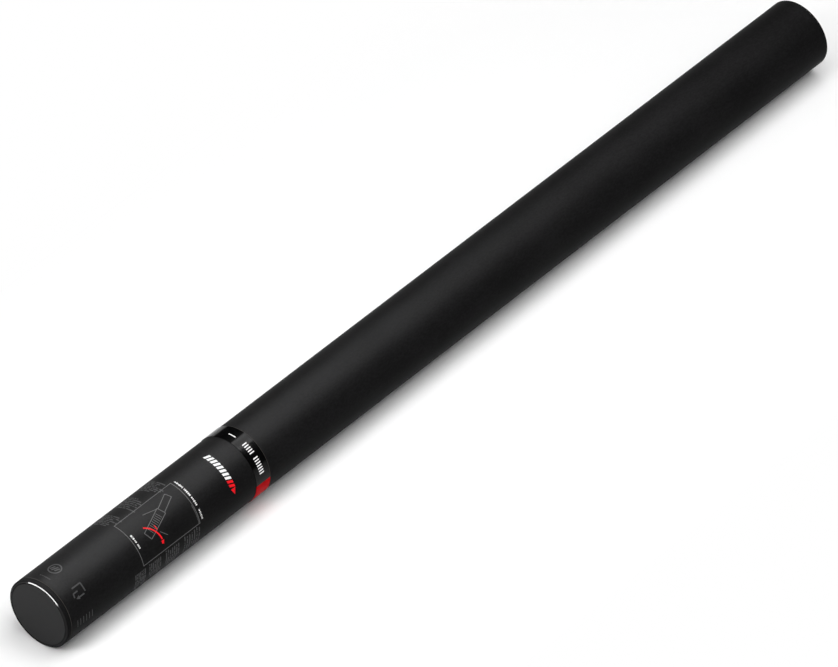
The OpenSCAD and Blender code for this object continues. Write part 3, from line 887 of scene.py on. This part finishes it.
def drawing_panel(white, grey, red):
    """A framed line drawing of a tube in two halves, with the twist between them in red."""
    left, right, low, high, line = round_by(-1.5), round_by(78.4), 76.8, 134.1, 0.42
    grey.box(left, right, low, high, line)
    grey.bar((round_by(46.3), high - 1.1), (right, high - 1.1), line * 0.7)
    for s, blocks in (
        (136.8, ((0.4, 18.4), (20.3, 34.3), (36.4, 50.8), (57.8, 75.3))),
        (79.5, ((27.1, 40.4), (43.8, 51.0))),
    ):
        for start, end in blocks:
            white.words(round_by(start), round_by(end), s, 1.7, start)
    top, waist, foot = (
        Vector((round_by(t), s)) for t, s in ((12.9, 124.2), (25.4, 111.3), (43.9, 90.2))
    )
    along = (foot - top).normalized()
    side = Vector((-along.y, along.x)) * 2.5
    slim, wide = side * 1.0, side * 1.3
    for a, b, half in ((top, waist, slim), (waist, foot, wide)):
        for sign in (-1, 1):
            grey.bar(a + half * sign, b + half * sign, line)
    for end, half in ((top, slim), (waist, wide), (foot, wide)):
        grey.bar(end - half, end + half, line)
    for share in even(0.12, 0.88, 0.075):
        place = waist.lerp(foot, share)
        grey.bar(place - side * 0.95, place + side * 0.95, line * 0.75)
    for start, end in (((13.4, 98.1), (19.9, 110.6)), ((49.3, 100.3), (60.3, 104.8))):
        grey.bar((round_by(start[0]), start[1]), (round_by(end[0]), end[1]), line * 0.8)
    red.arc(27.9, 82.3, 16.8, 149, 92, 1.05)
    red.head(29.0, 99.0, 3.2, 0)
    red.bar((round_by(36.4), 99.1), (round_by(44.4), 99.3), 0.8)
    red.disc(round_by(65.3), 98.4, 0.8, 12)


def small_print(faint):
    """Blocks of greeked small print on both sides of the panel."""
    rows, height = 7, 1.05
    for turn, seed, blocks in (
        ((-38.6, -6), 3, ((73.3, 86.2), (95.4, 109.7), (118.3, 131.0))),
        ((83.4, 115.6), 11, ((67.6, 78.6), (81.6, 94.2), (98.2, 112.7), (116.8, 133.8))),
    ):
        left, right = (round_by(degrees) for degrees in turn)
        for i, (low, high) in enumerate(blocks):
            faint.lines(left, right, low, high, rows, height, seed + i)


def base_icons(faint):
    """A ring with three leaning bars, a square loop arrow and a row of ticks near the base."""
    u, s = round_by(-5.5), 19.8
    faint.ring(u, s, 5.0, 0.9)
    for i in (-1, 0, 1):
        faint.slash(u + i * 2.1, s, 1.2, 4.6 - abs(i) * 1.0, 0.45)
    u0, u1, s0, s1 = round_by(36.8), round_by(53.4), 14.5, 24.3
    for points in (
        ((u0, s0 + 1.6), (u0, s1), (u1 - 1.0, s1)),
        ((u1, s1 - 1.6), (u1, s0 + 3.0)),
        ((u0 + 3.4, s0 + 4.4), (u0 + 3.4, s0 + 0.2), (u0 + 6.2, s0 - 0.4)),
    ):
        for a, b in zip(points, points[1:]):
            faint.bar(a, b, 1.0)
    faint.head(u1, s0 + 2.4, 3.4, -90)
    left, right, first, pitch = round_by(84), round_by(97), 10.1, 2.9
    for i in range(6):
        faint.bar((left, first + pitch * i), (right, first + pitch * i), 0.55)
    faint.words(round_by(-14.5), round_by(7.4), 9.6, 1.0, 21)


def band_marks(white):
    """A plain figure one, and chevrons that lead to the pull tab."""
    s = (BAND_X[0] + BAND_X[1]) / 2 / MM - BASE_X / MM
    white.digit("1", round_by(-1.1), s - 0.5, 6.4, 90)
    pitch, width, height, point = 1.82, 0.83, 4.2, 1.1
    for first, last in ((19.8, 40.8), (45.8, 75.2)):
        for u in even(round_by(first) - 0.9, round_by(last) + 0.9, pitch):
            white.chevron(u, s - 0.3, width, height, point)


class CANNON_OT_muzzle_cap(Builder, bpy.types.Operator):
    """Build the push-in cap at the muzzle"""

    bl_idname = "cannon.muzzle_cap"
    bl_label = "Muzzle Cap"

    def build(self, colours, sizes):
        x0, x1 = span("muzzle_cap")
        wall, dish, floor = 1.5 * MM, 0.6 * MM, 1.5 * MM
        outer = TUBE_R - sizes.wall - 0.08 * MM
        inner = outer - wall
        face, back = x1 - dish, x1 - dish - floor
        bm = bmesh.new()
        turned(bm, [
            (back, 0), (back, inner), (x0, inner), (x0, outer), (x1, outer), (x1, inner),
            (face, inner - 0.8 * MM), (face, 0),
        ], sizes.round_steps, closed=False)
        soften(bm, 0.25 * MM, 3, 25.0)
        material = moulding("muzzle_moulding", colours.black, 0.38)
        finished(bm, "muzzle_plug", material, "cap", "black_moulding", "muzzle_cap")


class CANNON_OT_spring(Builder, bpy.types.Operator):
    """Wind the hold-off spring at one length; the real one shortens as the handle turns"""

    bl_idname = "cannon.spring"
    bl_label = "Hold-off Spring"

    def build(self, colours, sizes):
        x0, x1 = span("hold_off_spring")
        wire, wire_sides, turns, steps = 0.9 * MM, 12, 9, 40
        mean = radius_of("hold_off_spring") - wire
        close = 2.6 * wire
        climb = (x1 - x0 - 2 * wire - 2 * close) / (turns - 2)
        upright = Matrix.Rotation(math.pi / 2, 4, "X")
        place = Matrix.Translation((x0 + wire, 0, AXIS_Z + mean)) @ upright
        bm = bmesh.new()
        ring = bmesh.ops.create_circle(bm, segments=wire_sides, radius=wire, matrix=place)["verts"]
        edges = list(dict.fromkeys(e for v in ring for e in v.link_edges))
        for pitch, count in ((close, 1), (climb, turns - 2), (close, 1)):
            made = bmesh.ops.spin(
                bm, geom=list(ring) + edges, cent=(0, 0, AXIS_Z), axis=(1, 0, 0),
                dvec=(pitch / steps, 0, 0), angle=FULL_TURN * count, steps=steps * count,
                use_merge=False, use_duplicate=False,
            )["geom_last"]
            ring = [g for g in made if isinstance(g, bmesh.types.BMVert)]
            edges = [g for g in made if isinstance(g, bmesh.types.BMEdge)]
        close_ends(bm, wire_sides)
        material = metal("spring_steel", (0.5, 0.5, 0.52), 0.32)
        spring = finished(
            bm, "wound_spring", material, "barrel", "spring_steel", "hold_off_spring"
        )
        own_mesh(spring)


class CANNON_OT_streamers(Builder, bpy.types.Operator):
    """Wind the streamer rolls turn by turn"""

    bl_idname = "cannon.streamers"
    bl_label = "Streamer Rolls"

    def build(self, colours, sizes):
        material = silver_film("silver_film", colours.film)
        for index, node in enumerate(ROLLS):
            bm = wound_roll(node, index, sizes)
            name = node.replace("streamer_roll", "wound_roll")
            finished(bm, name, material, "load", "silver_foil", node, smooth=50)


def wound_roll(node, index, sizes):
    """A strip of film wound from its core outwards, its turns a little off each other."""
    low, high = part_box(node)
    middle = (low + high) / 2
    core, outer = 3.2 * MM, (high.z - low.z) / 2
    turns = int((outer - core - sizes.film) / sizes.film_pitch)
    steps, slack, drift = 40, 0.25 * MM, 0.2 * MM
    half = (high.x - low.x) / 2 - slack
    bm = bmesh.new()
    bmesh.ops.create_grid(bm, x_segments=turns * steps, y_segments=1, size=0.5)
    sheet = bmesh.ops.extrude_face_region(bm, geom=bm.faces[:])["geom"]
    top = [v for v in sheet if isinstance(v, bmesh.types.BMVert)]
    bmesh.ops.translate(bm, verts=top, vec=(0, 0, 1))
    phase = index * 2.4
    for v in bm.verts:
        run = (v.co.x + 0.5) * turns
        angle = run * FULL_TURN + phase
        wander = drift * noise.noise(Vector((run * 0.7, index * 3.1, 0)))
        radius = core + run * sizes.film_pitch + v.co.z * sizes.film
        across = 2 * v.co.y * half + wander
        v.co = middle + Vector((across, radius * math.cos(angle), radius * math.sin(angle)))
    return bm


class CANNON_OT_wads(Builder, bpy.types.Operator):
    """Build the felt wad, the felt sealing ring and the board wad"""

    bl_idname = "cannon.wads"
    bl_label = "Wads"

    def build(self, colours, sizes):
        felt = pressed_felt("pressed_felt", colours.felt)
        board = paper_board("paper_board", colours.board)
        rings, steps = 12, 128
        for name, node, material, slot, edge, fluff in (
            ("felt_disc", "felt_wad", felt, "felt", 0.9 * MM, 0.12 * MM),
            ("board_disc", "front_wad", board, "white_paper", 0.35 * MM, 0.02 * MM),
        ):
            x0, x1 = span(node)
            radius = radius_of(node)
            radii = [0, *(radius * i / rings for i in range(1, rings)), radius]
            bm = bmesh.new()
            outline = [(x0, r) for r in radii] + [(x1, r) for r in reversed(radii)]
            turned(bm, outline, steps, closed=False)
            soften(bm, edge, 4)
            roughened(bm, fluff, Vector(((x0 + x1) / 2, 0, AXIS_Z)))
            finished(bm, name, material, "load", slot, node, smooth=60)
        x0, x1 = span("pusher_ring")
        outer = radius_of("pusher_ring")
        inner = outer - 2.1 * MM
        bm = bmesh.new()
        turned(bm, [(x0, inner), (x0, outer), (x1, outer), (x1, inner)], steps)
        soften(bm, 0.5 * MM, 3)
        finished(bm, "felt_ring", felt, "load", "felt", "pusher_ring", smooth=60)


def roughened(bm, depth, middle):
    """Draws the surface in by an uneven depth, so that it never stands proud of its own size."""
    blotch = 1.6 * MM
    for v in bm.verts:
        wave = 0.5 + 0.5 * noise.noise(v.co / blotch)
        v.co = v.co + (middle - v.co).normalized() * depth * wave


class CANNON_OT_mechanism(Builder, bpy.types.Operator):
    """Give the carried-over pieces of the mechanism their finishes"""

    bl_idname = "cannon.mechanism"
    bl_label = "Mechanism Finishes"

    def build(self, colours, sizes):
        black = moulding("black_moulding", colours.black, 0.46)
        grey = moulding("grey_moulding", colours.grey, 0.4)
        turned_steel = metal("turned_steel", (0.62, 0.62, 0.64), 0.24)
        finishes = {
            "cam_sleeve": grey,
            "cartridge_carrier": grey,
            "handle_liner": black,
            "breech_block": black,
            "pusher": black,
            "breech_o_rings": rubber("nitrile", (0.02, 0.02, 0.02)),
            "needle_seal": rubber("needle_rubber", (0.022, 0.022, 0.022)),
            "cartridge_bumper": rubber("bumper_rubber", (0.025, 0.025, 0.025)),
            "piercing_needle": turned_steel,
            "cam_pins": turned_steel,
            "gas_diffuser": metal("drilled_steel", (0.6, 0.6, 0.62), 0.3),
            "retaining_ring": metal("ring_steel", (0.42, 0.42, 0.44), 0.34),
            "gas_cartridge": metal("plated_steel", (0.66, 0.67, 0.69), 0.28, round_axis=False),
            "cartridge_seal": metal("rolled_brass", (0.75, 0.6, 0.3), 0.26),
        }
        for node, material in finishes.items():
            piece = frame["nodes"][node]
            piece.data.materials.clear()
            piece.data.materials.append(material)


# Stage

# How far along the tube's line its load and cap can fly.
FIRED_X = 1.05
# The floor shows its shade up to SHADE_TO from that line and is plain white from WHITE_FROM.
SHADE_TO, WHITE_FROM = 0.12, 0.26
# Past each end of the tube it turns part white, between these distances and by that share: painted
# light that lifts part of the floor's shade there.
ENDS_FROM, ENDS_TO, ENDS_SHARE = 0.01, 0.06, 0.6
FLOOR_R = 14

# The world's light on matt walls, and how bright glossy walls show it above its horizon. That
# horizon leans to one side and is soft.
AMBIENT = 0.25
CEILING = 0.03
HORIZON_LEAN = 0.09
HORIZON_BLUR = 0.03

SENSOR_WIDTH = 36
SHIFT = (-0.0116, -0.021)
CLIP = (0.5, 60)

RIM_STRIP = "rim_strip"
# Softboxes: name, place, point they face, size, watts, shown in glossy walls, lighting matt walls.
LAMPS = (
    ("overhead", (0.22, -0.4, 1.5), (0.12, 0, 0), (1.8, 1.5), 23.5, False, True),
    ("base_box", (-1.45, 0.08, 1.1), (-0.35, 0, 0), (0.5, 0.6), 12.0, False, True),
    ("near_card", (0.13, -0.355, 1.2), (0.13, -0.355, 0), (0.7, 0.6), 73.0, True, False),
    ("far_card", (0.06, 0.42, 1.2), (0.06, 0.42, 0), (0.6, 0.6), 92.0, True, False),
    ("side_card", (-0.4, 1.2, 0.59), (-0.4, 0, 0.59), (0.5, 0.35), 65.0, True, False),
    ("band_box", (0.67, 0.08, 1.2), (0.67, 0.08, 0), (0.2, 0.74), 3.2, True, False),
    (RIM_STRIP, (-1.434, 0.376, 0.15), (-0.4, 0, 0.15), (1.25, 0.28), 110.0, True, False),
)


class CANNON_OT_stage(bpy.types.Operator):
    """Set up the floor, the backdrop, the lamps and the camera"""

    bl_idname = "cannon.stage"
    bl_label = "Stage"
    bl_options = {"REGISTER", "UNDO"}

    def execute(self, context):
        stage = context.scene.cannon_stage
        context.scene.view_settings.view_transform = "Standard"
        make_floor()
        make_world(context.scene)
        make_lamps(stage)
        make_camera(context.scene, stage)
        return {"FINISHED"}


def make_floor():
    """A wide pale floor that turns to plain white, so that its own edge never shows."""
    f = Finish("pale_floor", {"Roughness": 1.0, "Specular IOR Level": 0.0})
    f.set(colour=f.blend(f.noise(0.4, 1.0), (0.95, 0.95, 0.95), (0.96, 0.96, 0.96)))
    past = (f.x - FIRED_X).larger(BASE_X - f.x).larger(0.0)
    away = f.ramp((past * past + f.y * f.y) ** 0.5, SHADE_TO, WHITE_FROM)
    # Painted light: just past each end, a share of white glow lifts the floor's shade.
    ends = f.ramp((f.x - CAD_HIGH.x).larger(BASE_X - f.x), ENDS_FROM, ENDS_TO) * ENDS_SHARE
    white = f.add("ShaderNodeEmission", None, {"Color": (1, 1, 1, 1), "Strength": 1.0})
    whiteness = away.larger(ends) * seen_directly(f)
    mixed = f.add("ShaderNodeMixShader", None, {
        0: whiteness, 1: f.shader.outputs[0], 2: white.outputs[0],
    })
    f.feed(f.tree.nodes["Material Output"].inputs["Surface"], mixed.outputs[0])
    bm = bmesh.new()
    bmesh.ops.create_circle(bm, cap_ends=True, segments=96, radius=FLOOR_R)
    placed(bm, "floor", f.material)


def seen_directly(nodes):
    """1 for what the camera sees straight, in mirrors and through glass."""
    path = nodes.add("ShaderNodeLightPath").outputs
    seen = Flow(nodes, path["Is Camera Ray"]).larger(Flow(nodes, path["Is Glossy Ray"]))
    return seen.larger(Flow(nodes, path["Is Transmission Ray"]))


def make_world(scene):
    """White to the eye. Mirrors show that white low down and a dim ceiling above it."""
    world = bpy.data.worlds.new("studio")
    world.use_nodes = True
    scene.world = world
    nodes = Nodes(world.node_tree)
    camera = Flow(nodes, nodes.add("ShaderNodeLightPath").outputs["Is Camera Ray"])
    seen = seen_directly(nodes)
    way = nodes.add("ShaderNodeTexCoord").outputs["Generated"]
    ray = nodes.add("ShaderNodeSeparateXYZ", None, {0: way}).outputs
    up = Flow(nodes, ray["Z"]) + Flow(nodes, ray["Y"]) * HORIZON_LEAN
    mirrored = nodes.ramp(up, -HORIZON_BLUR, HORIZON_BLUR, 1.0, CEILING)
    back = world.node_tree.nodes["Background"]
    back.inputs["Color"].default_value = (1, 1, 1, 1)
    nodes.feed(back.inputs["Strength"], (seen * mirrored + AMBIENT * (1 - seen)).larger(camera))


def make_lamps(stage):
    """Hangs the softboxes. The rim strip lights the base cap alone."""
    for name, place, target, size, watts, in_gloss, on_matt in LAMPS:
        data = bpy.data.lights.new(name, "AREA")
        data.shape, data.size, data.size_y = "RECTANGLE", *size
        data.energy = watts * stage.brightness
        holder = bpy.data.objects.new(name, data)
        bpy.context.scene.collection.objects.link(holder)
        holder.location = place
        facing = Vector(target) - Vector(place)
        holder.rotation_euler = facing.to_track_quat("-Z", "Y").to_euler()
        holder.visible_glossy, holder.visible_diffuse = in_gloss, on_matt
    rim_lit = bpy.data.collections.new(RIM_LIT)
    bpy.data.objects[RIM_STRIP].light_linking.receiver_collection = rim_lit


def make_camera(scene, stage):
    """Looks down the tube from its base end, at the photograph's angle."""
    level = Vector((math.cos(stage.heading), math.sin(stage.heading), 0))
    ahead = level * math.cos(stage.elevation)
    ahead.z = -math.sin(stage.elevation)
    data = bpy.data.cameras.new("camera")
    data.sensor_width, data.lens = SENSOR_WIDTH, stage.lens
    data.shift_x, data.shift_y = SHIFT
    data.clip_start, data.clip_end = CLIP
    camera = bpy.data.objects.new("camera", data)
    scene.collection.objects.link(camera)
    middle = Vector(((CAD_LOW.x + CAD_HIGH.x) / 2, 0, AXIS_Z))
    camera.location = middle - ahead * stage.distance
    camera.rotation_euler = ahead.to_track_quat("-Z", "Y").to_euler()
    scene.camera = camera


# The stage comes first, since the base cap joins the pieces that its rim strip lights.
BUILD_STEPS = (
    CANNON_OT_stage, CANNON_OT_card_tubes, CANNON_OT_base_cap, CANNON_OT_safety_band,
    CANNON_OT_print, CANNON_OT_muzzle_cap, CANNON_OT_spring, CANNON_OT_streamers, CANNON_OT_wads,
    CANNON_OT_mechanism,
)


class VIEW3D_PT_cannon(bpy.types.Panel):
    """Lists the settings and the build steps"""

    bl_label = "Streamer Cannon"
    bl_idname = "VIEW3D_PT_cannon"
    bl_space_type = "VIEW_3D"
    bl_region_type = "UI"
    bl_category = "Cannon"

    def draw(self, context):
        for name in GROUPS:
            group = getattr(context.scene, name)
            box = self.layout.box()
            for key in group.bl_rna.properties.keys():
                if key not in ("rna_type", "name"):
                    box.prop(group, key)
        for step in BUILD_STEPS:
            self.layout.operator(step.bl_idname)


GROUPS = {
    "cannon_colours": CannonColours, "cannon_sizes": CannonSizes, "cannon_stage": CannonStage,
}
CLASSES = (*GROUPS.values(), *BUILD_STEPS, VIEW3D_PT_cannon)


def register():
    """Registers the classes and hangs the settings on the scene."""
    for cls in CLASSES:
        bpy.utils.register_class(cls)
    for name, group in GROUPS.items():
        setattr(bpy.types.Scene, name, PointerProperty(type=group))


def unregister():
    """Takes the settings and the classes away again."""
    for name in GROUPS:
        delattr(bpy.types.Scene, name)
    for cls in reversed(CLASSES):
        bpy.utils.unregister_class(cls)


def main():
    """Registers the add-on and builds every piece in order."""
    register()
    for step in BUILD_STEPS:
        section, name = step.bl_idname.split(".")
        getattr(getattr(bpy.ops, section), name)()


if __name__ == "__main__":
    main()
